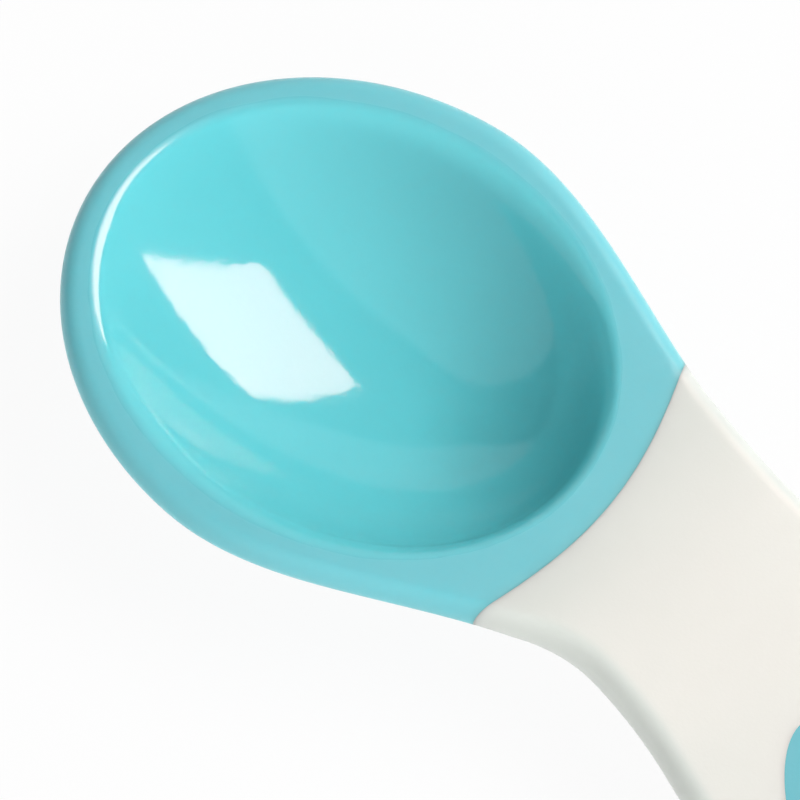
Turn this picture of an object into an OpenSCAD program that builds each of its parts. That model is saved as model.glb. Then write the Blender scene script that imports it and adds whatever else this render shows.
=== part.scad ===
// Toddler spoon in three moulded pieces: a white handle core with a hidden tongue,
// a glossy bowl moulded over that tongue, and a soft grip moulded into the handle.
// X runs from the bowl towards the handle, Z is up, and the origin is the middle of
// the small flat under the bowl, on the table. Distances along the spoon are measured
// from the bowl's centre along its centre line, which bends sideways past the joint.

/* [Bowl] */
// Length of the bowl over its rim
bowl_l = 38.8; // [37:0.2:41]
// Width of the ellipse that the rim follows round the tip
bowl_w = 32.8; // [31:0.2:35]
// Height of the rim above the table
bowl_h = 10.8; // [10.5:0.1:11.4]
// Width of the rim, from the outline to the start of the cavity
rim_w = 2.1; // [1.8:0.1:2.4]
// Radius of the rim's outer edge
rim_r = 1.2; // [0.9:0.1:1.6]
// Radius with which that edge turns under
under_r = 0.8; // [0.5:0.1:1.1]
// Width over which the rim turns down into the cavity at the handle
lip_w = 1.2; // [0.8:0.1:1.6]
// The same width at the tip
lip_tip_w = 0.4; // [0.3:0.1:1]
// Depth of the cavity below the rim
cavity_d = 7.9; // [7.4:0.1:8.2]
// How far the deepest place lies towards the handle
cavity_shift = 4.5; // [3:0.1:5]
// Share of the cavity's rise that comes late, as a steep wall, at the handle
cavity_steep = 0.25; // [0.1:0.05:0.4]
// How far the whole cavity lies towards the tip
cavity_back = 0.4; // [0:0.1:0.8]
// Distance of the lowest place of the underside
foot_at = 3.5; // [2.5:0.1:4.5]
// How much of the round underside is cut flat to stand on
foot_cut = 0.3; // [0.2:0.05:0.5]

/* [Neck] */
// Distance of the colour joint from the bowl's centre
joint_at = 19.1; // [18.8:0.1:20.5]
// How far the joint bulges towards the handle
joint_sag = 2.2; // [1:0.1:3]
// Distance at which the outline leaves the bowl's ellipse
shoulder_at = -2; // [-3:0.5:0]
// Distance at which the underside and the edge leave the bowl
blend_at = 8; // [6:0.5:10]
// Distance of the narrowest place
waist_at = 26; // [25:0.5:29]
// Width at the narrowest place
waist_w = 17.3; // [16:0.1:19]
// Distance of the highest place of the underside
neck_at = 23; // [21:0.5:26]
// Height of that place above the table
neck_z = 4.3; // [3.6:0.1:4.8]

/* [Tongue] */
// Length of the tongue inside the bowl
tongue_l = 11; // [8:0.5:11.5]
// Width of the tongue where it leaves the handle
tongue_root_w = 8; // [6:0.5:9]
// Width of the tongue's head
tongue_head_w = 12; // [10:0.5:13]
// Thickness of the tongue
tongue_t = 0.9; // [0.8:0.05:1]
// Bowl wall left under the tongue
tongue_cover = 0.7; // [0.6:0.05:0.8]

/* [Handle] */
// Distance of the handle's end
handle_l = 114; // [106:1:124]
// Sideways angle between bowl and handle
bend_angle = 20; // [0:1:25]
// Radius of that bend, which starts at the joint
bend_r = 46; // [30:1:50]
// Distance at which the full grip section begins
grip_at = 48; // [44:1:52]
// Height of the grip's top
grip_h = 8.4; // [8:0.1:9]
// Height of the grip's widest line
edge_z = 7; // [6.5:0.1:7.2]
// Radius with which the grip's top falls to its edges
crown_r = 1.3; // [1:0.1:1.8]
// Distance of the widest place
belly_at = 62; // [58:1:68]
// Width at the widest place
belly_w = 19.4; // [18.4:0.2:21]
// Length over which the end is rounded down
end_l = 10; // [7:0.5:12]

/* [Grip] */
// Distance of the upper pad's nose
pad_at = 37; // [36.5:0.1:40]
// Length of the upper pad
pad_l = 56; // [48:1:60]
// Width of the upper pad
pad_w = 15.8; // [13:0.2:16]
// Distance of the under pad's nose
sole_at = 53; // [52:1:56]
// Length of the under pad
sole_l = 40; // [36:1:44]
// Width of the under pad
sole_w = 10; // [9:0.5:12]
// Thickness of both pads over the grip section
pad_t = 2.2; // [1.8:0.1:2.4]
// Diameter of the posts that join the pads
post_d = 4; // [3:0.5:5]
// Spacing of the posts
post_pitch = 12; // [9:0.5:13]

/* [Hidden] */
// Gap drawn between two shots
shot_gap = 0.03;
// How far a post runs into each pad
post_bite = 0.8;
post_count = 3;
// Fullness of the grip's underside, the cavity's floor and wall, the handle's end and the tongue
grip_p = 0.6;
cavity_m = 2.2;
wall_m = 10;
end_m = 2.6;
tongue_m = 6;
// Share of the tongue's length that stays straight at each end
tongue_hold = 0.25;
// How strongly the rim's rows gather at the outline
deck_pack = 1.8;
// Bowl and cavity half axes
rim_a = bowl_l / 2;
rim_b = bowl_w / 2;
cavity_a = rim_a - rim_w;
cavity_b = rim_b - rim_w;
rim_edge_z = bowl_h - rim_r;
bowl_drop = rim_edge_z + foot_cut;
bend_l = bend_r * bend_angle * PI / 180;
corner_at = joint_at - joint_sag;
// Share of the underside's drop that is spent on turning under the rim's edge
under_e = under_r * rim_b / (2 * pow(bowl_drop, 2));
// Points across a section, and rows and columns of each surface
n_across = 20;
n_neck = 10;
n_rim = 25;
n_under = 12;
n_deck = 6;
n_cavity = 15;
n_tongue = 6;
n_bend = 14;
n_body = 12;
n_end = 14;
n_pad = 48;
n_pad_rows = 7;
n_ring = 2 * n_across;

// Curves

function hermite(x, x0, y0, m0, x1, y1, m1) =
    let (h = x1 - x0, t = (x - x0) / h, u = 1 - t)
    (1 + 2 * t) * u * u * y0 + t * u * u * h * m0 + t * t * (3 - 2 * t) * y1 - t * t * u * h * m1;

function ease(x, x0, y0, x1, y1) =
    x <= x0 ? y0 : x >= x1 ? y1 : hermite(x, x0, y0, 0, x1, y1, 0);

// 1 along the body, falling to 0 in a quarter ellipse over the handle's last stretch
function end_fall(s) =
    let (t = (s - handle_l + end_l) / end_l)
    t <= 0 ? 1 : sqrt(max(0, 1 - t * t));

// Half width of the outline: the rim's ellipse, the neck, the belly and the round end
function rim_half(s) = rim_b * sqrt(max(0, 1 - pow(s / rim_a, 2)));
function rim_slope(s) = -pow(rim_b / rim_a, 2) * s / rim_half(s);
function half_w(s) =
    s <= shoulder_at ? rim_half(s)
    : s <= waist_at
        ? hermite(s, shoulder_at, rim_half(shoulder_at), rim_slope(shoulder_at), waist_at, waist_w / 2, 0)
    : s <= belly_at ? ease(s, waist_at, waist_w / 2, belly_at, belly_w / 2)
    : belly_w / 2 * pow(max(0, 1 - pow((s - belly_at) / (handle_l - belly_at), end_m)), 1 / end_m);

// Height of the widest line, of the top and of the keel along the spoon
function edge_line(s) = ease(s, blend_at, rim_edge_z, grip_at, edge_z);
function top_line(s) =
    edge_line(s) + (ease(s, joint_at, bowl_h, grip_at, grip_h) - edge_line(s)) * end_fall(s);
function foot_reach(s) = s < foot_at ? rim_a + foot_at : rim_a - foot_at;
function bowl_keel(s) = rim_edge_z - bowl_drop * max(0, 1 - pow((s - foot_at) / foot_reach(s), 2));
function bowl_keel_slope(s) = 2 * bowl_drop * (s - foot_at) / pow(foot_reach(s), 2);
function body_keel(s) =
    s <= blend_at ? bowl_keel(s)
    : s <= neck_at
        ? hermite(s, blend_at, bowl_keel(blend_at), bowl_keel_slope(blend_at), neck_at, neck_z, 0)
    : ease(s, neck_at, neck_z, grip_at, 0);
function keel_line(s) = edge_line(s) - (edge_line(s) - body_keel(s)) * end_fall(s);

// Underside and top at a place along the spoon and a share of the half width
function under_p(s) = ease(s, joint_at, 1, grip_at, grip_p);
function under_share(s, v) =
    let (w = max(0, 1 - v * v), turn = 2 * ease(s, joint_at, under_e, grip_at, 0))
    pow(sqrt((w * w + turn * w) / (1 + turn)), under_p(s));
function under_z(s, v) = max(0, edge_line(s) - (edge_line(s) - keel_line(s)) * under_share(s, v));
function round_r(s) = ease(s, joint_at, rim_r, grip_at, crown_r);
function round_z(s, inset) =
    let (u = 1 - min(1, max(0, inset) / round_r(s)))
    edge_line(s) + (top_line(s) - edge_line(s)) * sqrt(1 - u * u);
function top_z(s, v) = round_z(s, (1 - abs(v)) * half_w(s));

// Distance of a place on the rim from the bowl's outline
function rim_inset(x, y) =
    x >= shoulder_at ? half_w(x) - abs(y)
    : (1 - pow(x / rim_a, 2) - pow(y / rim_b, 2))
        / (2 * norm([x / pow(rim_a, 2), y / pow(rim_b, 2)]));

// A point given along the spoon, to its left and above the table
function place(s, y, z) =
    let (a = min(max(s - joint_at, 0), bend_l) / bend_r * 180 / PI)
    let (rest = max(s - joint_at - bend_l, 0))
    let (x = min(s, joint_at) - foot_at + bend_r * sin(a) + rest * cos(a))
    let (side = bend_r * (1 - cos(a)) + rest * sin(a))
    [x + y * sin(a), y * cos(a) - side, z];

// Shares of the half width, closer together towards both edges
across = [for (k = [0:n_across]) -cos(180 * k / n_across)];

// A closed section: its underside from right to left, then its top back again
function section(under, top) =
    concat(under, [for (k = [n_across - 1:-1:1]) top[k]]);
function upper(k) = k == 0 ? 0 : k == n_across ? n_across : n_ring - k;

// Section of the spoon at a station whose middle bulges towards the handle
function body_section(s, sag) =
    let (at = [for (v = across) s - sag * v * v])
    section(
        [for (k = [0:n_across])
            place(at[k], across[k] * half_w(at[k]), under_z(at[k], across[k]))],
        [for (k = [0:n_across])
            place(at[k], across[k] * half_w(at[k]), top_z(at[k], across[k]))]);

// Section of the tongue, drawn smaller all round by a gap
function tongue_half(s) =
    let (hold = tongue_hold * tongue_l)
    ease(joint_at - s, hold, tongue_root_w / 2, tongue_l - hold, tongue_head_w / 2);
function tongue_section(s, sag, gap) =
    let (w = tongue_half(s) - gap, t = tongue_t / 2 - gap)
    let (x = [for (v = across) s - sag * pow(v * w / half_w(corner_at), 2)])
    let (mid = [for (k = [0:n_across])
        under_z(x[k], across[k] * w / half_w(x[k])) + tongue_cover + tongue_t / 2])
    let (swell = [for (v = across) t * sqrt(max(0, 1 - pow(v, tongue_m)))])
    section(
        [for (k = [0:n_across]) place(x[k], across[k] * w, mid[k] - swell[k])],
        [for (k = [0:n_across]) place(x[k], across[k] * w, mid[k] + swell[k])]);
// Stations of the tongue, from its tip to the joint
function tongue_stations(gap) =
    [for (i = [0:n_tongue])
        let (t = i / n_tongue)
        tongue_section(joint_at - (tongue_l - gap) * (1 - t) + gap * t, joint_sag * t, gap)];

// Faces

// Two triangles between each pair of points of two rings that start at a and b
function strip(a, b, n) =
    [for (j = [0:n - 1])
        let (k = (j + 1) % n)
        each [[a + j, b + k, a + k], [a + j, b + j, b + k]]];
// The same for a stack of rings, counted from its first vertex
function stack(start, rings, n) =
    [for (i = [0:rings - 2]) each strip(start + i * n, start + (i + 1) * n, n)];
// The same between two lists of vertex numbers, open at the end
function ladder(a, b) =
    [for (j = [0:len(a) - 2]) each [[a[j], b[j + 1], a[j + 1]], [a[j], b[j], b[j + 1]]]];
function fan(hub, ring, n) = [for (j = [0:n - 1]) [hub, ring + j, ring + (j + 1) % n]];
function turned(faces) = [for (f = faces) [f[2], f[1], f[0]]];
function proper(faces) = [for (f = faces) if (f[0] != f[1] && f[1] != f[2] && f[2] != f[0]) f];
// A flat end of a section, from underside to top
function section_end(start) =
    proper(ladder([for (k = [0:n_across]) start + k], [for (k = [0:n_across]) start + upper(k)]));
function flat(lists) = [for (l = lists) each l];

// Handle

// Stations of the body: through the bend, along the grip and round the end
body_stations = concat(
    [for (i = [0:n_bend])
        let (t = i / n_bend)
        [joint_at + shot_gap + (grip_at - joint_at) * t, joint_sag * pow(1 - t, 2)]],
    [for (i = [1:n_body]) [grip_at + (handle_l - end_l - grip_at) * i / n_body, 0]],
    [for (i = [1:n_end - 1]) [handle_l - end_l + end_l * sin(90 * i / n_end), 0]]);

module handle_body() {
    rings = concat(tongue_stations(shot_gap), [for (b = body_stations) body_section(b[0], b[1])]);
    tip = len(rings) * n_ring;
    points = concat(flat(rings), [place(handle_l, 0, edge_line(handle_l))]);
    faces = concat(
        turned(section_end(0)),
        stack(0, len(rings), n_ring),
        turned(fan(tip, tip - n_ring, n_ring)));
    polyhedron(points, faces);
}

// Outline of a pad seen from above, drawn larger by a gap
function pad_outline(at, l, w, gap) =
    [for (i = [0:n_pad - 1])
        let (a = 360 * i / n_pad)
        let (p = place(at + l / 2 + (l / 2 + gap) * cos(a), (w / 2 + gap) * sin(a), 0))
        [p[0], p[1]]];
post_stations =
    [for (i = [0:post_count - 1]) sole_at + sole_l / 2 + (i - (post_count - 1) / 2) * post_pitch];
pad_floor = grip_h - pad_t;
sole_roof = pad_t;

module posts(d, z0, z1) {
    for (s = post_stations)
        translate(place(s, 0, z0)) cylinder(d = d, h = z1 - z0, $fn = 48);
}

module handle() color([0.93, 0.93, 0.91]) difference() {
    handle_body();
    translate([0, 0, pad_floor])
        linear_extrude(bowl_h) polygon(pad_outline(pad_at, pad_l, pad_w, shot_gap));
    translate([0, 0, sole_roof - bowl_h])
        linear_extrude(bowl_h) polygon(pad_outline(sole_at, sole_l, sole_w, shot_gap));
    posts(post_d + 2 * shot_gap, 0, grip_h);
}

// Bowl

// Outer boundary of the bowl from above: the joint, then round the rim by the tip
joint_edge = [for (v = across) let (s = joint_at - joint_sag * v * v) [s, v * half_w(s)]];
rim_angle = acos(shoulder_at / rim_a);
rim_left = concat(
    [for (i = [1:n_neck])
        let (s = corner_at + (shoulder_at - corner_at) * i / n_neck)
        [s, half_w(s)]],
    [for (i = [1:n_rim])
        let (a = rim_angle + (180 - rim_angle) * i / n_rim)
        [rim_a * cos(a), rim_b * sin(a)]]);
rim_right = [for (i = [len(rim_left) - 2:-1:0]) [rim_left[i][0], -rim_left[i][1]]];
boundary = concat(joint_edge, rim_left, rim_right);
n_round = len(boundary);
// Direction of each column on the cavity's ellipse
bearing = [for (b = boundary) atan2(b[1] / rim_b, b[0] / rim_a)];

// The cavity's height at a share of its size, and its plan, which shifts as it deepens
function heelward(c) = (1 + cos(c)) / 2;
function steep(c) = cavity_steep * heelward(c);
function lip_at(c) = 1 - (lip_tip_w + (lip_w - lip_tip_w) * heelward(c)) / cavity_b;
function cavity_rise(r, c) = (1 - steep(c)) * pow(r, cavity_m) + steep(c) * pow(r, wall_m);
function cavity_slope(r, c) =
    (1 - steep(c)) * cavity_m * pow(r, cavity_m - 1) + steep(c) * wall_m * pow(r, wall_m - 1);
function cavity_z(r, c) =
    let (lip = lip_at(c), rise = cavity_rise(lip, c), slope = cavity_slope(lip, c))
    let (k = cavity_d / (rise + slope * (1 - lip) / 2))
    bowl_h - cavity_d
    + (r <= lip ? k * cavity_rise(r, c) : hermite(r, lip, k * rise, k * slope, 1, cavity_d, 0));
function cavity_at(r, c) =
    [cavity_a * r * cos(c) + cavity_shift * (1 - r) - cavity_back, cavity_b * r * sin(c)];
function bowl_under(x, y) = place(x, y, under_z(x, half_w(x) > 0 ? y / half_w(x) : 1));

module bowl() color([0.45, 0.80, 0.84]) {
    under_rows = [for (i = [1:n_under])
        let (f = sin(90 * i / n_under))
        [for (b = boundary) bowl_under(foot_at + (b[0] - foot_at) * f, b[1] * f)]];
    joint_top = [for (k = [1:n_across - 1])
        place(joint_edge[k][0], joint_edge[k][1], top_z(joint_edge[k][0], across[k]))];
    deck_rows = [for (i = [1:n_deck])
        let (g = pow(i / n_deck, deck_pack))
        [for (j = [0:n_round - 1])
            let (p = boundary[j] * (1 - g) + cavity_at(1, bearing[j]) * g)
            place(p[0], p[1], round_z(p[0], rim_inset(p[0], p[1])))]];
    cavity_rows = [for (i = [1:n_cavity - 1])
        let (r = cos(90 * i / n_cavity))
        [for (c = bearing) let (p = cavity_at(r, c)) place(p[0], p[1], cavity_z(r, c))]];
    upper_rows = concat(deck_rows, cavity_rows);
    socket_rings = tongue_stations(0);

    foot = 0;
    under_start = 1;
    edge_start = under_start + (n_under - 1) * n_round;
    top_start = edge_start + n_round;
    deck_start = top_start + n_across - 1;
    floor_start = deck_start + (len(upper_rows) - 1) * n_round;
    floor_hub = floor_start + n_round;
    socket_start = floor_hub + 1;
    root_start = socket_start + n_tongue * n_ring;

    // Where a column's upper surface starts: on the joint's top edge or at the rim's edge
    joint_row = [for (j = [0:n_round - 1])
        j > 0 && j < n_across ? top_start + j - 1 : edge_start + j];
    loop_row = [for (j = [0:n_round]) joint_row[j % n_round]];
    deck_row = [for (j = [0:n_round]) deck_start + j % n_round];
    joint_ring = concat(
        [for (k = [0:n_across]) edge_start + k], [for (k = [n_across - 1:-1:0]) joint_row[k]]);
    root_ring = [for (k = [0:n_ring]) root_start + k % n_ring];

    points = concat(
        [bowl_under(foot_at, 0)], flat(under_rows), joint_top, flat(upper_rows),
        [place(cavity_shift - cavity_back, 0, bowl_h - cavity_d)], flat(socket_rings));
    faces = concat(
        fan(foot, under_start, n_round),
        stack(under_start, n_under, n_round),
        ladder(loop_row, deck_row),
        stack(deck_start, len(upper_rows), n_round),
        turned(fan(floor_hub, floor_start, n_round)),
        ladder(joint_ring, root_ring),
        turned(stack(socket_start, len(socket_rings), n_ring)),
        section_end(socket_start));
    polyhedron(points, proper(faces));
}

// Grip

// One pad: a flat back, straight walls and a face that follows the handle's own surface
module pad(at, l, w, back, upward) {
    spot = function (r, a) [at + l / 2 + l / 2 * r * cos(a), w / 2 * r * sin(a)];
    face_z = function (q)
        let (v = q[1] / half_w(q[0]))
        upward ? top_z(q[0], v) : under_z(q[0], v);
    rows = concat(
        [[for (i = [0:n_pad - 1])
            let (q = spot(1, 360 * i / n_pad))
            place(q[0], q[1], back)]],
        [for (j = [0:n_pad_rows - 1])
            let (r = cos(90 * j / n_pad_rows))
            [for (i = [0:n_pad - 1])
                let (q = spot(r, 360 * i / n_pad))
                place(q[0], q[1], face_z(q))]]);
    hub = [at + l / 2, 0];
    count = len(rows) * n_pad;
    points = concat(flat(rows), [place(hub[0], hub[1], back), place(hub[0], hub[1], face_z(hub))]);
    faces = concat(
        fan(count, 0, n_pad),
        stack(0, len(rows), n_pad),
        turned(fan(count + 1, count - n_pad, n_pad)));
    polyhedron(points, upward ? faces : turned(faces));
}

module grip() color([0.46, 0.76, 0.80]) union() {
    pad(pad_at, pad_l, pad_w, pad_floor, true);
    pad(sole_at, sole_l, sole_w, sole_roof, false);
    posts(post_d, sole_roof - post_bite, pad_floor + post_bite);
}

handle();
bowl();
grip();
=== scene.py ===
import math

import bmesh
import bpy
from mathutils import Matrix, Vector


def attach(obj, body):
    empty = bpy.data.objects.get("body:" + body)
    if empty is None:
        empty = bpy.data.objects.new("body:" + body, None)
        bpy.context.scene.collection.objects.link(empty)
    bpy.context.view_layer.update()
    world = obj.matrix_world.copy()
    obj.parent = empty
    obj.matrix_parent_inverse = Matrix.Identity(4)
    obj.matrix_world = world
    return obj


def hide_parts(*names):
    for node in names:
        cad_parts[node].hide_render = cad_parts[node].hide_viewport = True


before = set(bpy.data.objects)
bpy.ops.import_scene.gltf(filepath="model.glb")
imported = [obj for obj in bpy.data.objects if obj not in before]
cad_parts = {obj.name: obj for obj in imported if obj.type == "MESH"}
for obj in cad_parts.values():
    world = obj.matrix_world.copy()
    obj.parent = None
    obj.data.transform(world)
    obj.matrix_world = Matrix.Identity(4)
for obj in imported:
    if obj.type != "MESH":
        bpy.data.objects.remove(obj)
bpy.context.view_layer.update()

# Bowl
# The spoon's bowl is the second shot of the moulding: glossy turquoise plastic run over the
# handle's tongue. It has a deep heel, a shallow tip and a thick rim that rolls over and under,
# and it meets the handle at a curved colour joint with no groove.

MM = 0.001
bowl_l, bowl_w, bowl_h = 38.8, 32.8, 10.8
rim_w, rim_r, under_r = 2.1, 1.2, 0.8
lip_w, lip_tip_w, lip_side_w = 1.2, 0.4, 0.9
cavity_d, cavity_shift, cavity_back = 7.9, 4.5, 0.4
cavity_m, wall_m, cavity_steep = 2.2, 10, 0.25
foot_at, foot_cut = 3.5, 0.3
joint_at, joint_sag = 19.1, 2.2
shoulder_at, blend_at, waist_at, waist_w = -2.0, 8.0, 26.0, 17.3
neck_at, neck_z = 23.0, 4.3
grip_at, grip_h, edge_z, crown_r, grip_p = 48.0, 8.4, 7.0, 1.3, 0.6
belly_at, belly_w = 62.0, 19.4
handle_l, end_l, end_m = 114.0, 10.0, 2.6
bend_angle, bend_r = math.radians(20), 46.0
rim_a, rim_b = bowl_l / 2, bowl_w / 2
cavity_a, cavity_b = rim_a - rim_w, rim_b - rim_w
rim_edge_z = bowl_h - rim_r
bowl_drop = rim_edge_z + foot_cut
corner_at = joint_at - joint_sag
under_e = under_r * rim_b / (2 * bowl_drop ** 2)


def hermite(x, x0, y0, m0, x1, y1, m1):
    h = x1 - x0
    t = (x - x0) / h
    u = 1 - t
    return (1 + 2 * t) * u * u * y0 + t * u * u * h * m0 + t * t * (3 - 2 * t) * y1 - t * t * u * h * m1


def ease(x, x0, y0, x1, y1):
    if x <= x0:
        return y0
    return y1 if x >= x1 else hermite(x, x0, y0, 0, x1, y1, 0)


def rim_half(s):
    return rim_b * math.sqrt(max(0, 1 - (s / rim_a) ** 2))


def half_width(s):
    """Half the spoon's width: the rim's ellipse, the neck, the belly and the round end."""
    if s <= shoulder_at:
        return rim_half(s)
    if s <= waist_at:
        slope = -(rim_b / rim_a) ** 2 * shoulder_at / rim_half(shoulder_at)
        return hermite(s, shoulder_at, rim_half(shoulder_at), slope, waist_at, waist_w / 2, 0)
    if s <= belly_at:
        return ease(s, waist_at, waist_w / 2, belly_at, belly_w / 2)
    share = (s - belly_at) / (handle_l - belly_at)
    return belly_w / 2 * max(0, 1 - share ** end_m) ** (1 / end_m)


def end_fall(s):
    t = (s - handle_l + end_l) / end_l
    return 1 if t <= 0 else math.sqrt(max(0, 1 - t * t))


def edge_line(s):
    return ease(s, blend_at, rim_edge_z, grip_at, edge_z)


def top_line(s):
    return edge_line(s) + (ease(s, joint_at, bowl_h, grip_at, grip_h) - edge_line(s)) * end_fall(s)


def keel_line(s):
    """Lowest line of the underside: the bowl's belly, the neck's hollow and the straight grip."""
    reach = rim_a + foot_at if s < foot_at else rim_a - foot_at
    if s <= blend_at:
        keel = rim_edge_z - bowl_drop * max(0, 1 - ((s - foot_at) / reach) ** 2)
    elif s <= neck_at:
        reach = rim_a - foot_at
        start = rim_edge_z - bowl_drop * (1 - ((blend_at - foot_at) / reach) ** 2)
        slope = 2 * bowl_drop * (blend_at - foot_at) / reach ** 2
        keel = hermite(s, blend_at, start, slope, neck_at, neck_z, 0)
    else:
        keel = ease(s, neck_at, neck_z, grip_at, 0)
    return edge_line(s) - (edge_line(s) - keel) * end_fall(s)


def under_z(s, v):
    turn = ease(s, joint_at, under_e, grip_at, 0)
    w = max(0, 1 - v * v)
    full = math.sqrt((w * w + 2 * turn * w) / (1 + 2 * turn)) ** ease(s, joint_at, 1, grip_at, grip_p)
    return max(0, edge_line(s) - (edge_line(s) - keel_line(s)) * full)


def round_z(s, inset):
    u = 1 - min(1, max(0, inset) / ease(s, joint_at, rim_r, grip_at, crown_r))
    return edge_line(s) + (top_line(s) - edge_line(s)) * math.sqrt(1 - u * u)


def top_z(s, v):
    return round_z(s, (1 - abs(v)) * half_width(s))


def rim_inset(s, y):
    if s >= shoulder_at:
        return half_width(s) - abs(y)
    fall = 1 - (s / rim_a) ** 2 - (y / rim_b) ** 2
    return fall / (2 * math.hypot(s / rim_a ** 2, y / rim_b ** 2))


def place(s, y, z):
    """A point at a distance along the bent centre line, to its left and above the table."""
    a = min(max(s - joint_at, 0) / bend_r, bend_angle)
    rest = max(s - joint_at - bend_r * bend_angle, 0)
    x = min(s, joint_at) - foot_at + bend_r * math.sin(a) + rest * math.cos(a)
    side = bend_r * (1 - math.cos(a)) + rest * math.sin(a)
    return ((x + y * math.sin(a)) * MM, (y * math.cos(a) - side) * MM, z * MM)


def across(n):
    return [-math.cos(math.pi * k / n) for k in range(n + 1)]


def cavity_z(r, c):
    """Height of the cavity: a round dish whose wall steepens late towards the handle."""
    heelward = (1 + math.cos(c)) / 2
    steep = cavity_steep * heelward
    lip = 1 - (lip_tip_w + (lip_w - lip_tip_w) * heelward + lip_side_w * math.sin(c) ** 2) / cavity_b

    def rise(q):
        return (1 - steep) * q ** cavity_m + steep * q ** wall_m

    slope = (1 - steep) * cavity_m * lip ** (cavity_m - 1) + steep * wall_m * lip ** (wall_m - 1)
    k = cavity_d / (rise(lip) + slope * (1 - lip) / 2)
    if r <= lip:
        return bowl_h - cavity_d + k * rise(r)
    return bowl_h - cavity_d + hermite(r, lip, k * rise(lip), k * slope, 1, cavity_d, 0)


def cavity_at(r, c):
    shift = cavity_shift * (1 - r) - cavity_back
    return cavity_a * r * math.cos(c) + shift, cavity_b * r * math.sin(c)


def bowl_under(s, y):
    half = half_width(s)
    return place(s, y, under_z(s, min(1, y / half) if half > 0 else 1))


def strip(a, b, n):
    return [(a + j, b + j, b + (j + 1) % n, a + (j + 1) % n) for j in range(n)]


def fan(hub, ring, n):
    return [(hub, ring + j, ring + (j + 1) % n) for j in range(n)]


def solid(name, points, faces, crease):
    """One closed mesh, shaded smooth apart from edges sharper than the crease angle."""
    mesh = bpy.data.meshes.new(name)
    mesh.from_pydata(points, [], faces)
    mesh.validate()
    mesh.shade_smooth()
    mesh.set_sharp_from_angle(angle=math.radians(crease))
    obj = bpy.data.objects.new(name, mesh)
    bpy.context.scene.collection.objects.link(obj)
    return obj


joint_columns, neck_columns, rim_columns = 40, 34, 84
under_rows, deck_rows, cavity_rows = 26, 18, 60
deck_pack, bowl_crease = 1.8, 40
joint_edge = []
for v in across(joint_columns):
    s = joint_at - joint_sag * v * v
    joint_edge.append((s, v * half_width(s)))
rim_angle = math.acos(shoulder_at / rim_a)
rim_left = []
for i in range(1, neck_columns + 1):
    s = corner_at + (shoulder_at - corner_at) * i / neck_columns
    rim_left.append((s, half_width(s)))
for i in range(1, rim_columns + 1):
    a = rim_angle + (math.pi - rim_angle) * i / rim_columns
    rim_left.append((rim_a * math.cos(a), rim_b * math.sin(a)))
outline = joint_edge + rim_left + [(s, -y) for s, y in reversed(rim_left[:-1])]
bearing = [math.atan2(y / rim_b, s / rim_a) for s, y in outline]
n_round = len(outline)

bowl_points = [bowl_under(foot_at, 0)]
for i in range(1, under_rows + 1):
    f = math.sin(math.pi / 2 * i / under_rows)
    bowl_points += [bowl_under(foot_at + (s - foot_at) * f, y * f) for s, y in outline]
edge_start = 1 + (under_rows - 1) * n_round
# The joint's face is closed by a row of points along its upper edge
top_start = len(bowl_points)
for (s, y), v in list(zip(joint_edge, across(joint_columns)))[1:-1]:
    bowl_points.append(place(s, y, top_z(s, v)))
deck_start = len(bowl_points)
for i in range(1, deck_rows + 1):
    g = (i / deck_rows) ** deck_pack
    for (s, y), c in zip(outline, bearing):
        lip_s, lip_y = cavity_at(1, c)
        p_s, p_y = s * (1 - g) + lip_s * g, y * (1 - g) + lip_y * g
        bowl_points.append(place(p_s, p_y, round_z(p_s, rim_inset(p_s, p_y))))
for i in range(1, cavity_rows):
    r = math.cos(math.pi / 2 * i / cavity_rows)
    bowl_points += [place(*cavity_at(r, c), cavity_z(r, c)) for c in bearing]
floor_start = len(bowl_points) - n_round
bowl_points.append(place(cavity_shift - cavity_back, 0, bowl_h - cavity_d))

upper_edge = [edge_start + j for j in range(n_round)]
for k in range(1, joint_columns):
    upper_edge[k] = top_start + k - 1
bowl_faces = [face[::-1] for face in fan(0, 1, n_round)]
for i in range(under_rows - 1):
    bowl_faces += [f[::-1] for f in strip(1 + i * n_round, 1 + (i + 1) * n_round, n_round)]
for j in range(n_round):
    k = (j + 1) % n_round
    bowl_faces.append((upper_edge[k], deck_start + k, deck_start + j, upper_edge[j]))
for i in range(deck_rows + cavity_rows - 2):
    start = deck_start + i * n_round
    bowl_faces += [f[::-1] for f in strip(start, start + n_round, n_round)]
bowl_faces += fan(len(bowl_points) - 1, floor_start, n_round)
for k in range(joint_columns):
    corner = (edge_start + k, edge_start + k + 1, upper_edge[k + 1], upper_edge[k])
    face = tuple(dict.fromkeys(corner))
    if len(face) > 2:
        bowl_faces.append(face)
bowl = solid("bowl_shell", bowl_points, bowl_faces, bowl_crease)

drift_scale, drift_detail, drift_share = 90, 3, 0.97
smudge_scale, smudge_detail = 260, 4
noise_low, noise_high, grain_detail = 0.3, 0.7, 2


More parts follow.
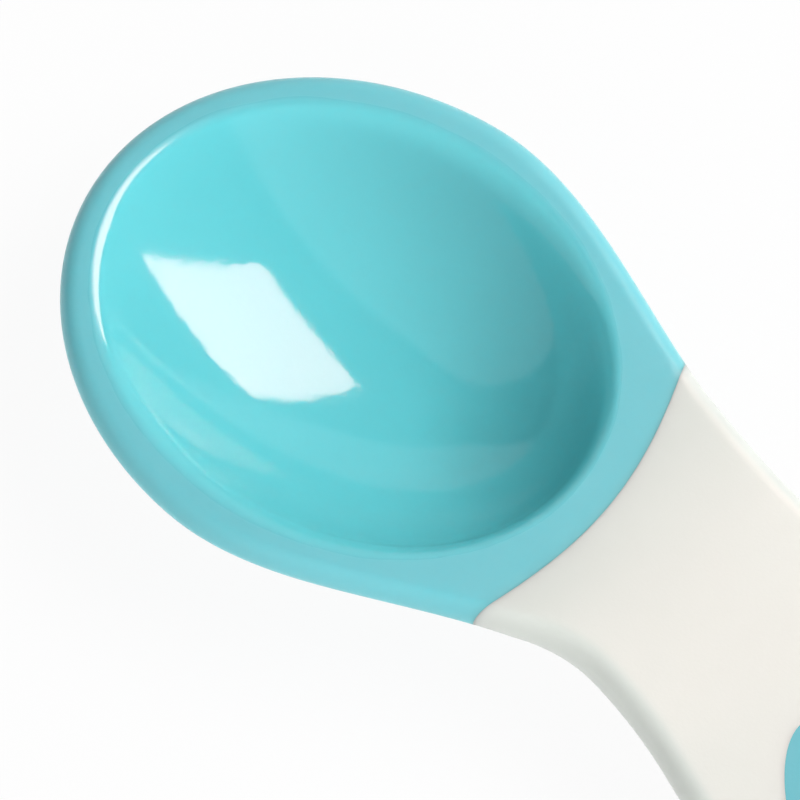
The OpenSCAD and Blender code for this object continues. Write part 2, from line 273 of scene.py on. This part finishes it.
def finish_material(name, base, roughness):
    """A plastic whose colour and roughness drift a little over the surface."""
    material = bpy.data.materials.new(name)
    material.use_nodes = True
    nodes, links = material.node_tree.nodes, material.node_tree.links
    plastic = nodes["Principled BSDF"]
    where = nodes.new("ShaderNodeTexCoord").outputs["Object"]

    def noise(scale, detail):
        texture = nodes.new("ShaderNodeTexNoise")
        texture.inputs["Scale"].default_value = scale
        texture.inputs["Detail"].default_value = detail
        links.new(where, texture.inputs["Vector"])
        return texture.outputs["Fac"]

    def ramp(factor, low, high):
        node = nodes.new("ShaderNodeValToRGB")
        node.color_ramp.elements[0].position = noise_low
        node.color_ramp.elements[1].position = noise_high
        node.color_ramp.elements[0].color = low
        node.color_ramp.elements[1].color = high
        links.new(factor, node.inputs["Fac"])
        return node.outputs["Color"]

    darker = [c * drift_share for c in base]
    drift = noise(drift_scale, drift_detail)
    links.new(ramp(drift, (*darker, 1), (*base, 1)), plastic.inputs["Base Color"])
    low, high = roughness
    smudge = noise(smudge_scale, smudge_detail)
    links.new(ramp(smudge, (low, low, low, 1), (high, high, high, 1)), plastic.inputs["Roughness"])
    return material, plastic, nodes, links, noise


def grain(material, strength, scale, depth):
    """Fine relief of the mould's surface."""
    _, plastic, nodes, links, noise = material
    bump = nodes.new("ShaderNodeBump")
    bump.inputs["Strength"].default_value = strength
    bump.inputs["Distance"].default_value = depth * MM
    links.new(noise(scale, grain_detail), bump.inputs["Height"])
    links.new(bump.outputs["Normal"], plastic.inputs["Normal"])


def scatter(material, weight, depth):
    """Let light spread a little under the skin of the plastic."""
    plastic = material[1]
    plastic.inputs["Subsurface Weight"].default_value = weight
    plastic.inputs["Subsurface Radius"].default_value = (1, 1, 1)
    plastic.inputs["Subsurface Scale"].default_value = depth * MM


polish_full, polish_none = 0.96, 1.01
upward_blend = 0.05


def polish_cavity(material, roughness, tint):
    """Polish the inside of the bowl and leave its rim and outside satin. The rim and outside keep a
    paler colour as painted sheen, and the cavity's colour is made more saturated.
    """
    _, plastic, nodes, links, noise = material

    def node(kind, **sockets):
        made = nodes.new(kind)
        for socket, value in sockets.items():
            if isinstance(value, bpy.types.NodeSocket):
                links.new(value, made.inputs[socket.replace("_", " ")])
            else:
                made.inputs[socket.replace("_", " ")].default_value = value
        return made

    satin_roughness = plastic.inputs["Roughness"].links[0].from_socket
    where = nodes.new("ShaderNodeTexCoord").outputs["Object"]
    ellipse = nodes.new("ShaderNodeVectorMath")
    ellipse.operation = "MULTIPLY_ADD"
    links.new(where, ellipse.inputs[0])
    ellipse.inputs[1].default_value = (1 / (cavity_a * MM), 1 / (cavity_b * MM), 0)
    ellipse.inputs[2].default_value = ((foot_at + cavity_back) / cavity_a, 0, 0)
    reach = nodes.new("ShaderNodeVectorMath")
    reach.operation = "LENGTH"
    links.new(ellipse.outputs[0], reach.inputs[0])
    inside = node(
        "ShaderNodeMapRange", Value=reach.outputs["Value"],
        From_Min=polish_full, From_Max=polish_none, To_Min=1.0, To_Max=0.0)
    facing = nodes.new("ShaderNodeSeparateXYZ")
    links.new(nodes.new("ShaderNodeNewGeometry").outputs["Normal"], facing.inputs[0])
    upward = node(
        "ShaderNodeMapRange", Value=facing.outputs["Z"],
        From_Min=-upward_blend, From_Max=upward_blend)
    polished = nodes.new("ShaderNodeMath")
    polished.operation = "MULTIPLY"
    links.new(inside.outputs["Result"], polished.inputs[0])
    links.new(upward.outputs["Result"], polished.inputs[1])
    low, high = roughness
    smudge = node(
        "ShaderNodeMapRange", Value=noise(smudge_scale, smudge_detail),
        From_Min=noise_low, From_Max=noise_high, To_Min=low, To_Max=high)
    finish = nodes.new("ShaderNodeMix")
    links.new(polished.outputs[0], finish.inputs["Factor"])
    links.new(satin_roughness, finish.inputs["A"])
    links.new(smudge.outputs["Result"], finish.inputs["B"])
    links.new(finish.outputs["Result"], plastic.inputs["Roughness"])
    # Painted sheen: the rim and outside keep the paler base colour, and the polished cavity is
    # multiplied back to a more saturated turquoise
    # The colour sockets of this node share their names with others, so they go by number
    painted_sheen_split = nodes.new("ShaderNodeMix")
    painted_sheen_split.data_type = "RGBA"
    painted_sheen_split.blend_type = "MULTIPLY"
    links.new(polished.outputs[0], painted_sheen_split.inputs["Factor"])
    links.new(plastic.inputs["Base Color"].links[0].from_socket, painted_sheen_split.inputs[6])
    painted_sheen_split.inputs[7].default_value = (*tint, 1)
    links.new(painted_sheen_split.outputs[2], plastic.inputs["Base Color"])


# The rim's turquoise is painted paler as painted sheen; the cavity tint takes the inside of the bowl
# back to a more saturated turquoise
rim_turquoise_painted_sheen, rim_roughness = (0.20, 0.645, 0.71), (0.28, 0.33)
cavity_roughness, cavity_tint_without_painted_sheen = (0.07, 0.10), (0.81, 1.04, 1.02)
gloss = finish_material("turquoise_plastic", rim_turquoise_painted_sheen, rim_roughness)
polish_cavity(gloss, cavity_roughness, cavity_tint_without_painted_sheen)
gloss[1].inputs["IOR"].default_value = 1.55
scatter(gloss, weight=0.7, depth=1.2)
grain(gloss, strength=0.55, scale=1000, depth=0.02)
bowl.data.materials.append(gloss[0])
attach(bowl, "root")
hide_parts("bowl")

# Handle
# The first shot: a white satin plastic core with the neck, the side bend and the grip body.
# Its top and underside are recessed for the soft grip, and the bowl is moulded onto its end.

ring_half = 60
neck_steps, body_steps, end_steps = 60, 60, 32
joint_gap, handle_crease = 0.004, 35
stations = []
for i in range(neck_steps + 1):
    t = i / neck_steps
    stations.append((joint_at + joint_gap + (grip_at - joint_at) * t, joint_sag * (1 - t) ** 2))
for i in range(1, body_steps + 1):
    stations.append((grip_at + (handle_l - end_l - grip_at) * i / body_steps, 0))
for i in range(1, end_steps):
    stations.append((handle_l - end_l + end_l * math.sin(math.pi / 2 * i / end_steps), 0))
handle_points = []
for s, sag in stations:
    at = [s - sag * v * v for v in across(ring_half)]
    ring = list(zip(at, across(ring_half)))
    handle_points += [place(a, v * half_width(a), under_z(a, v)) for a, v in ring]
    handle_points += [place(a, v * half_width(a), top_z(a, v)) for a, v in ring[-2:0:-1]]
n_ring = 2 * ring_half
handle_points.append(place(handle_l, 0, edge_line(handle_l)))
handle_faces = []
for i in range(len(stations) - 1):
    handle_faces += strip(i * n_ring, (i + 1) * n_ring, n_ring)
last = (len(stations) - 1) * n_ring
handle_faces += [f[::-1] for f in fan(len(handle_points) - 1, last, n_ring)]
for k in range(ring_half):
    upper = [n_ring - j if 0 < j < ring_half else j for j in (k, k + 1)]
    face = tuple(dict.fromkeys((k + 1, upper[1], upper[0], k)))
    if len(face) > 2:
        handle_faces.append(face)
handle_faces = [f[::-1] for f in handle_faces]
handle = solid("handle_core", handle_points, handle_faces, handle_crease)

handle_white, handle_roughness = (0.735, 0.77, 0.725), (0.36, 0.44)
satin = finish_material("satin_white", handle_white, handle_roughness)
scatter(satin, weight=0.5, depth=1.5)
grain(satin, strength=0.2, scale=5200, depth=0.02)
handle.data.materials.append(satin[0])
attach(handle, "root")
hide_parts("handle")

# Grip
# The last shot: soft turquoise inlay in the handle's recesses, an upper and an under pad with
# faces flush with the white core, joined by posts through it.

pad_at, pad_l, pad_w = 37.0, 56.0, 15.8
sole_at, sole_l, sole_w = 53.0, 40.0, 10.0
pad_t, post_d, post_pitch, post_count, post_bite = 2.2, 4.0, 12.0, 3, 0.8
pad_floor, sole_roof = grip_h - pad_t, pad_t
pad_sides, pad_rows, post_sides = 160, 24, 48
pad_gap = 0.01
weld_gap = 0.0005


def pad_spot(at, length, width, r, a):
    return at + length / 2 + length / 2 * r * math.cos(a), width / 2 * r * math.sin(a)


def pad_mesh(name, at, length, width, back, face):
    """A pad with a flat back, straight walls and a face that follows the handle's own surface."""
    turns = [2 * math.pi * i / pad_sides for i in range(pad_sides)]
    rows = [[pad_spot(at, length, width, 1, a) for a in turns]]
    for j in range(pad_rows):
        r = math.cos(math.pi / 2 * j / pad_rows)
        rows.append([pad_spot(at, length, width, r, a) for a in turns])
    points = [place(s, y, back) for s, y in rows[0]]
    for row in rows[1:]:
        points += [place(s, y, face(s, y / half_width(s))) for s, y in row]
    hub_s = at + length / 2
    points += [place(hub_s, 0, back), place(hub_s, 0, face(hub_s, 0))]
    faces = fan(len(points) - 2, 0, pad_sides)
    for j in range(pad_rows):
        faces += strip(j * pad_sides, (j + 1) * pad_sides, pad_sides)
    faces += [f[::-1] for f in fan(len(points) - 1, pad_rows * pad_sides, pad_sides)]
    if face is top_z:
        faces = [f[::-1] for f in faces]
    return solid(name, points, faces, handle_crease)


def prism(name, outline_points, low, high):
    n = len(outline_points)
    points = [(x, y, low) for x, y, _ in outline_points] + [(x, y, high) for x, y, _ in outline_points]
    faces = strip(0, n, n) + [tuple(range(n)), tuple(range(2 * n - 1, n - 1, -1))]
    return solid(name, points, [f[::-1] for f in faces], handle_crease)


def post_outline(s, radius):
    x, y, _ = place(s, 0, 0)
    turns = [2 * math.pi * i / post_sides for i in range(post_sides)]
    return [(x + radius * math.cos(a) * MM, y + radius * math.sin(a) * MM, 0) for a in turns]


def cut(obj, tool, operation):
    """Boolean with a helper solid, which is then deleted. Points that fall together are welded."""
    step = obj.modifiers.new("cut", "BOOLEAN")
    step.operation = operation
    step.solver = "EXACT"
    step.object = tool
    bpy.context.view_layer.update()
    shaped = bpy.data.meshes.new_from_object(obj.evaluated_get(bpy.context.evaluated_depsgraph_get()))
    obj.modifiers.remove(step)
    weld = bmesh.new()
    weld.from_mesh(shaped)
    bmesh.ops.remove_doubles(weld, verts=weld.verts, dist=weld_gap * MM)
    weld.to_mesh(shaped)
    weld.free()
    obj.data = shaped
    bpy.data.objects.remove(tool)
    obj.data.shade_smooth()
    obj.data.set_sharp_from_angle(angle=math.radians(handle_crease))


turns = [2 * math.pi * i / pad_sides for i in range(pad_sides)]
post_places = [sole_at + sole_l / 2 + (i - (post_count - 1) / 2) * post_pitch for i in range(post_count)]
ring = [place(*pad_spot(pad_at, pad_l + 2 * pad_gap, pad_w + 2 * pad_gap, 1, a), 0) for a in turns]
cut(handle, prism("pad_recess", ring, pad_floor * MM, bowl_h * MM), "DIFFERENCE")
ring = [place(*pad_spot(sole_at, sole_l + 2 * pad_gap, sole_w + 2 * pad_gap, 1, a), 0) for a in turns]
cut(handle, prism("sole_recess", ring, -bowl_h * MM, sole_roof * MM), "DIFFERENCE")
for s in post_places:
    hole = prism("post_hole", post_outline(s, post_d / 2 + pad_gap), 0, grip_h * MM)
    cut(handle, hole, "DIFFERENCE")

grip = pad_mesh("soft_grip", pad_at, pad_l, pad_w, pad_floor, top_z)
cut(grip, pad_mesh("sole", sole_at, sole_l, sole_w, sole_roof, under_z), "UNION")
post_low, post_high = (sole_roof - post_bite) * MM, (pad_floor + post_bite) * MM
for s in post_places:
    cut(grip, prism("post", post_outline(s, post_d / 2), post_low, post_high), "UNION")

grip_turquoise, grip_roughness = (0.095, 0.46, 0.53), (0.52, 0.62)
soft = finish_material("soft_turquoise", grip_turquoise, grip_roughness)
soft[1].inputs["Sheen Weight"].default_value = 0.1
grain(soft, strength=0.3, scale=3600, depth=0.03)
grip.data.materials.clear()
grip.data.materials.append(soft[0])
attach(grip, "root")
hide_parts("grip")

# Camera
# It looks down on the bowl at the photo's angle with a long lens, so the picture is nearly
# without perspective.

look_round, look_down = math.radians(37.5), math.radians(66)
look_right = Vector((math.cos(look_round), math.sin(look_round), 0))
look_back = Vector((
    math.sin(look_round) * math.cos(look_down),
    -math.cos(look_round) * math.cos(look_down),
    math.sin(look_down)))
look_up = look_back.cross(look_right)
bowl_middle = Vector((-foot_at, -0.25, bowl_h))
picture_right, picture_down = 2.62, 4.09
picture_middle = (bowl_middle + look_right * picture_right - look_up * picture_down) * MM
picture_width = 48.78 * MM
camera_distance = 0.6
camera_data = bpy.data.cameras.new("camera")
camera_data.sensor_width = 36
camera_data.lens = camera_data.sensor_width * camera_distance / picture_width
camera_data.clip_start = 0.01
camera = bpy.data.objects.new("camera", camera_data)
camera.matrix_world = Matrix((
    (look_right.x, look_up.x, look_back.x, 0),
    (look_right.y, look_up.y, look_back.y, 0),
    (look_right.z, look_up.z, look_back.z, 0),
    (0, 0, 0, 1)))
camera.location = picture_middle + look_back * camera_distance
bpy.context.scene.collection.objects.link(camera)
bpy.context.scene.camera = camera

# Studio
# The spoon lies on a white table. A key lamp lights it from the right, and a square softbox is
# mirrored in the bowl. Two pale panels of the tent show in reflections only; a low panel in front
# and a strip of light round the horizon fill the shadows.

table_half, table_grey, table_roughness, table_glow = 1.5, 0.86, 0.9, 0.94
table_data = bpy.data.meshes.new("table")
corners = [(x * table_half, y * table_half, 0) for x, y in ((-1, -1), (1, -1), (1, 1), (-1, 1))]
table_data.from_pydata(corners, [], [(0, 1, 2, 3)])
table = bpy.data.objects.new("table", table_data)
bpy.context.scene.collection.objects.link(table)
table_white = bpy.data.materials.new("table_white")
table_white.use_nodes = True
nodes, links = table_white.node_tree.nodes, table_white.node_tree.links
paper = nodes["Principled BSDF"]
paper.inputs["Base Color"].default_value = (table_grey, table_grey, table_grey, 1)
paper.inputs["Roughness"].default_value = table_roughness
rays = nodes.new("ShaderNodeLightPath")
seen = nodes.new("ShaderNodeMath")
seen.operation = "MAXIMUM"
links.new(rays.outputs["Is Camera Ray"], seen.inputs[0])
links.new(rays.outputs["Is Glossy Ray"], seen.inputs[1])
seen_through = nodes.new("ShaderNodeMath")
seen_through.operation = "MAXIMUM"
links.new(seen.outputs[0], seen_through.inputs[0])
links.new(rays.outputs["Is Transmission Ray"], seen_through.inputs[1])
share = nodes.new("ShaderNodeMath")
share.operation = "MULTIPLY"
share.inputs[1].default_value = table_glow
links.new(seen_through.outputs[0], share.inputs[0])
white = nodes.new("ShaderNodeEmission")
mix = nodes.new("ShaderNodeMixShader")
links.new(share.outputs[0], mix.inputs["Fac"])
links.new(paper.outputs["BSDF"], mix.inputs[1])
links.new(white.outputs["Emission"], mix.inputs[2])
links.new(mix.outputs["Shader"], nodes["Material Output"].inputs["Surface"])
table_data.materials.append(table_white)

look_near = Vector((look_back.x, look_back.y, 0)).normalized()
skyward = Vector((0, 0, 1))
softbox_l, softbox_w = 0.384, 0.312


def softbox(name, place_at, facing, side, energy, colour):
    """A rectangular lamp with its long side along the given direction."""
    lamp = bpy.data.lights.new(name, "AREA")
    lamp.shape = "RECTANGLE"
    lamp.size, lamp.size_y = softbox_l, softbox_w
    lamp.energy = energy
    lamp.color = colour
    box = bpy.data.objects.new(name, lamp)
    back = -facing.normalized()
    side = (side - back * side.dot(back)).normalized()
    turn = Matrix((side, back.cross(side), back)).transposed().to_4x4()
    box.matrix_world = Matrix.Translation(place_at) @ turn
    box.visible_camera = False
    bpy.context.scene.collection.objects.link(box)
    return box


gleam_at = Vector((0.1613, 0.2798, 0.3817))
gleam_facing = Vector((-0.292, -0.445, -0.847))
gleam_side = Vector((-0.252, -0.818, 0.517))
gleam = softbox("gleam", gleam_at, gleam_facing, gleam_side, energy=4.5, colour=(1, 0.55, 0.5))
gleam.visible_diffuse = False
key_way = look_right * 0.63 - look_near * 0.08 + skyward * 0.77
key_distance = 0.5
key = softbox("key", key_way * key_distance, -key_way, look_near, energy=2.6, colour=(1, 1, 1))
key.visible_glossy = False

tent = bpy.data.worlds.new("light_tent")
tent.use_nodes = True
nodes, links = tent.node_tree.nodes, tent.node_tree.links
way = nodes.new("ShaderNodeTexCoord").outputs["Generated"]
panel_blur = 2


def along(direction):
    dot = nodes.new("ShaderNodeVectorMath")
    dot.operation = "DOT_PRODUCT"
    dot.inputs[1].default_value = direction
    links.new(way, dot.inputs[0])
    return dot.outputs["Value"]


def add(first, second):
    total = nodes.new("ShaderNodeMath")
    total.operation = "ADD"
    for socket, value in zip(total.inputs, (first, second)):
        if isinstance(value, float):
            socket.default_value = value
        else:
            links.new(value, socket)
    return total.outputs[0]


def panel(direction, reach, level):
    """A round bright panel of the tent, as wide as the reach angle on each side."""
    disc = nodes.new("ShaderNodeMapRange")
    disc.interpolation_type = "SMOOTHSTEP"
    disc.inputs["From Min"].default_value = math.cos(math.radians(reach + panel_blur))
    disc.inputs["From Max"].default_value = math.cos(math.radians(reach - panel_blur))
    disc.inputs["To Max"].default_value = level
    links.new(along(direction.normalized()), disc.inputs["Value"])
    return disc.outputs["Result"]


# The room is nearly dark, a little lighter on the right
room_level, room_lean = 0.06, 0.03
room = add(along(look_right * room_lean), room_level)
front_way = look_near * 0.705 - look_right * 0.539 + skyward * 0.461
fill_way = look_near * 0.9 - look_right * 0.15 + skyward * 0.14
front_panel = panel(front_way, reach=54, level=0.65)
back_panel = panel(-look_near, reach=51, level=0.6)
fill_panel = panel(fill_way, reach=48, level=1.25)
strip_top, strip_full, strip_level = 7, 2, 2.5
low_strip = nodes.new("ShaderNodeMapRange")
low_strip.interpolation_type = "SMOOTHSTEP"
low_strip.inputs["From Min"].default_value = math.sin(math.radians(strip_top))
low_strip.inputs["From Max"].default_value = math.sin(math.radians(strip_full))
low_strip.inputs["To Max"].default_value = strip_level
links.new(along(skyward), low_strip.inputs["Value"])
panels = nodes.new("ShaderNodeMix")
links.new(add(fill_panel, low_strip.outputs["Result"]), panels.inputs["A"])
links.new(add(front_panel, back_panel), panels.inputs["B"])
rays = nodes.new("ShaderNodeLightPath")
links.new(rays.outputs["Is Glossy Ray"], panels.inputs["Factor"])
backdrop = nodes.new("ShaderNodeMix")
links.new(rays.outputs["Is Camera Ray"], backdrop.inputs["Factor"])
links.new(add(room, panels.outputs["Result"]), backdrop.inputs["A"])
backdrop.inputs["B"].default_value = 1
links.new(backdrop.outputs["Result"], nodes["Background"].inputs["Strength"])
nodes["Background"].inputs["Color"].default_value = (1, 1, 1, 1)
bpy.context.scene.world = tent
bpy.context.scene.view_settings.view_transform = "Standard"

bpy.context.view_layer.update()
